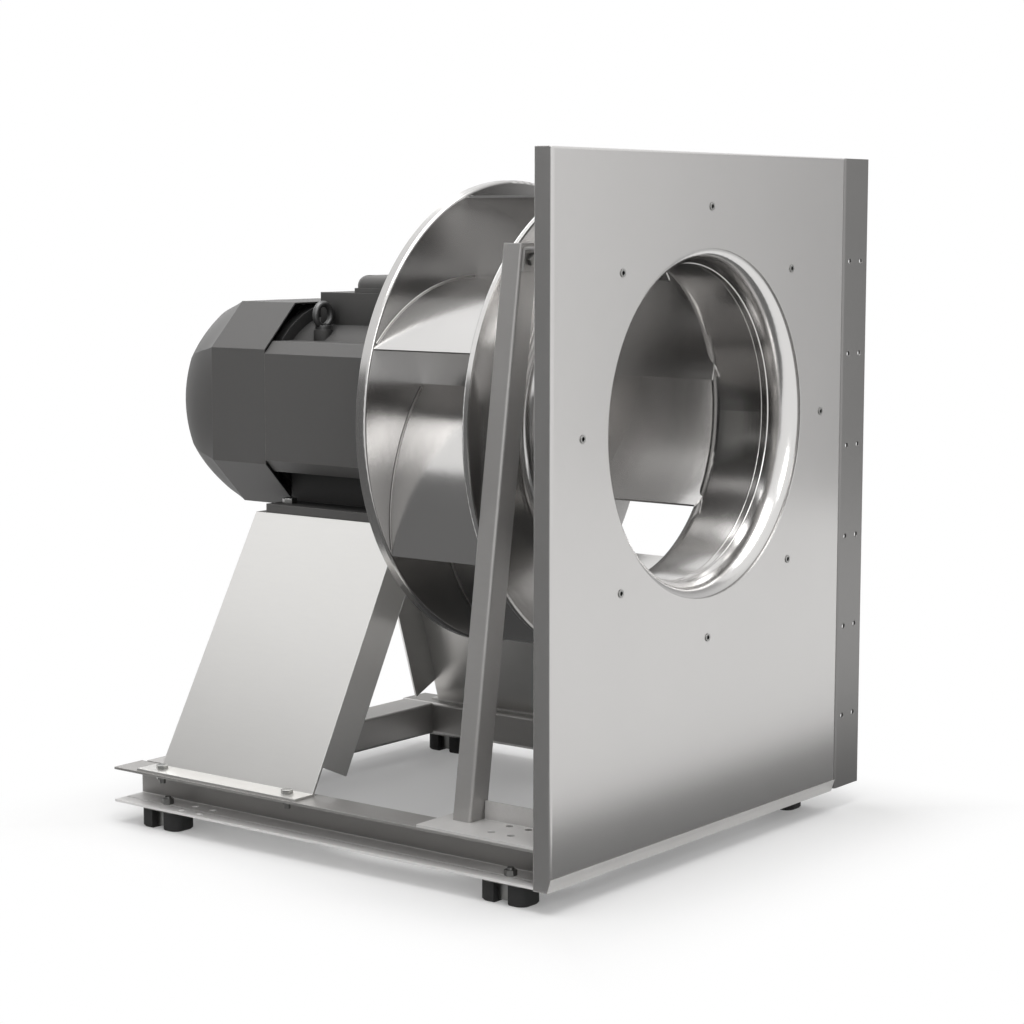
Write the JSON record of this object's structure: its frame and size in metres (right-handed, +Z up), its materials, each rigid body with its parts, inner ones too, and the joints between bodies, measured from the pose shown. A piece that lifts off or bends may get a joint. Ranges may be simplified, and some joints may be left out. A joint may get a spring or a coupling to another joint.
{
  "type": "direct-drive plug fan",
  "caption": "Direct-drive plug fan: backward-curved impeller on a foot-mounted motor, inlet nozzle in a square front plate, pedestal and base frame on anti-vibration feet.",
  "frame": {"origin": "centre of the inlet on the front plate's outer face, on the shaft axis", "axes": "+X to the right seen from the front, +Y back along the shaft towards the motor, +Z up"},
  "size_m": [0.6596, 0.7681, 0.8198],
  "materials": {
    "plate_paint": "light grey powder coat, satin",
    "nozzle_steel": "galvanised spun sheet, satin",
    "zinc": "zinc plated, satin",
    "impeller_steel": "smooth pressed sheet, glossy",
    "cast_iron": "cast, dark, satin",
    "machined_steel": "turned and ground",
    "core_steel": "laminated, matte",
    "copper_winding": "enamelled copper wire, lacquered",
    "brass": "turned",
    "motor_paint": "dark grey paint, satin",
    "black_plastic": "moulded, matte",
    "frame_steel": "galvanised sheet, satin",
    "pedestal_steel": "light galvanised sheet, satin",
    "rubber": "moulded, matte"
  },
  "bodies": {
    "frame": {"front_plate": "plate_paint", "side_strip": "plate_paint", "inlet_nozzle": "nozzle_steel", "nozzle_inserts": "zinc", "motor_foot_bolts": "zinc", "pedestal_bolts": "zinc", "strut_bolts": "zinc", "strip_bolts": "zinc", "end_shield_bolts": "zinc", "cover_screws": "zinc", "isolator_bolts": "zinc", "lifting_eye": "zinc", "isolator_brackets": "zinc", "bearing_outer_rings": "machined_steel", "stator_core": "core_steel", "winding_heads": "copper_winding", "motor_frame": "motor_paint", "drive_end_shield": "motor_paint", "rear_end_shield": "motor_paint", "fan_cowl": "motor_paint", "terminal_box": "motor_paint", "terminal_box_lid": "motor_paint", "terminal_board": "black_plastic", "cable_gland": "black_plastic", "rail_left": "frame_steel", "rail_right": "frame_steel", "cross_member_front": "frame_steel", "cross_member_rear": "frame_steel", "corner_plate_left": "frame_steel", "corner_plate_right": "frame_steel", "strut_left": "frame_steel", "strut_right": "frame_steel", "strut_top_brackets": "frame_steel", "pedestal_tie": "frame_steel", "pedestal_side_left": "pedestal_steel", "pedestal_side_right": "pedestal_steel", "isolator_rubbers": "rubber"},
    "rotor": {"impeller_shroud": "impeller_steel", "impeller_back_plate": "impeller_steel", "impeller_blade_1": "impeller_steel", "impeller_blade_2": "impeller_steel", "impeller_blade_3": "impeller_steel", "impeller_blade_4": "impeller_steel", "impeller_blade_5": "impeller_steel", "impeller_blade_6": "impeller_steel", "impeller_blade_7": "impeller_steel", "impeller_hub": "cast_iron", "taper_bush": "cast_iron", "bush_screws": "zinc", "hub_bolts": "zinc", "shaft_end_washer": "zinc", "shaft_end_bolt": "zinc", "motor_shaft": "machined_steel", "shaft_key": "machined_steel", "rotor_core": "core_steel", "bearing_inner_rings": "machined_steel", "cooling_fan": "black_plastic"},
    "ball_cages": {"bearing_cages": "brass", "bearing_balls": "machined_steel"}
  },
  "joints": [
    {"name": "rotor_spin", "type": "hinge", "parent": "frame", "child": "rotor", "pos_m": [0, 0, 0], "axis": [0, 1, 0], "continuous": true},
    {"name": "cage_spin", "type": "hinge", "parent": "frame", "child": "ball_cages", "pos_m": [0, 0, 0], "axis": [0, 1, 0], "continuous": true}
  ],
  "couplings": [
    {"joint": "cage_spin", "follows": "rotor_spin", "ratio": 0.3846}
  ]
}
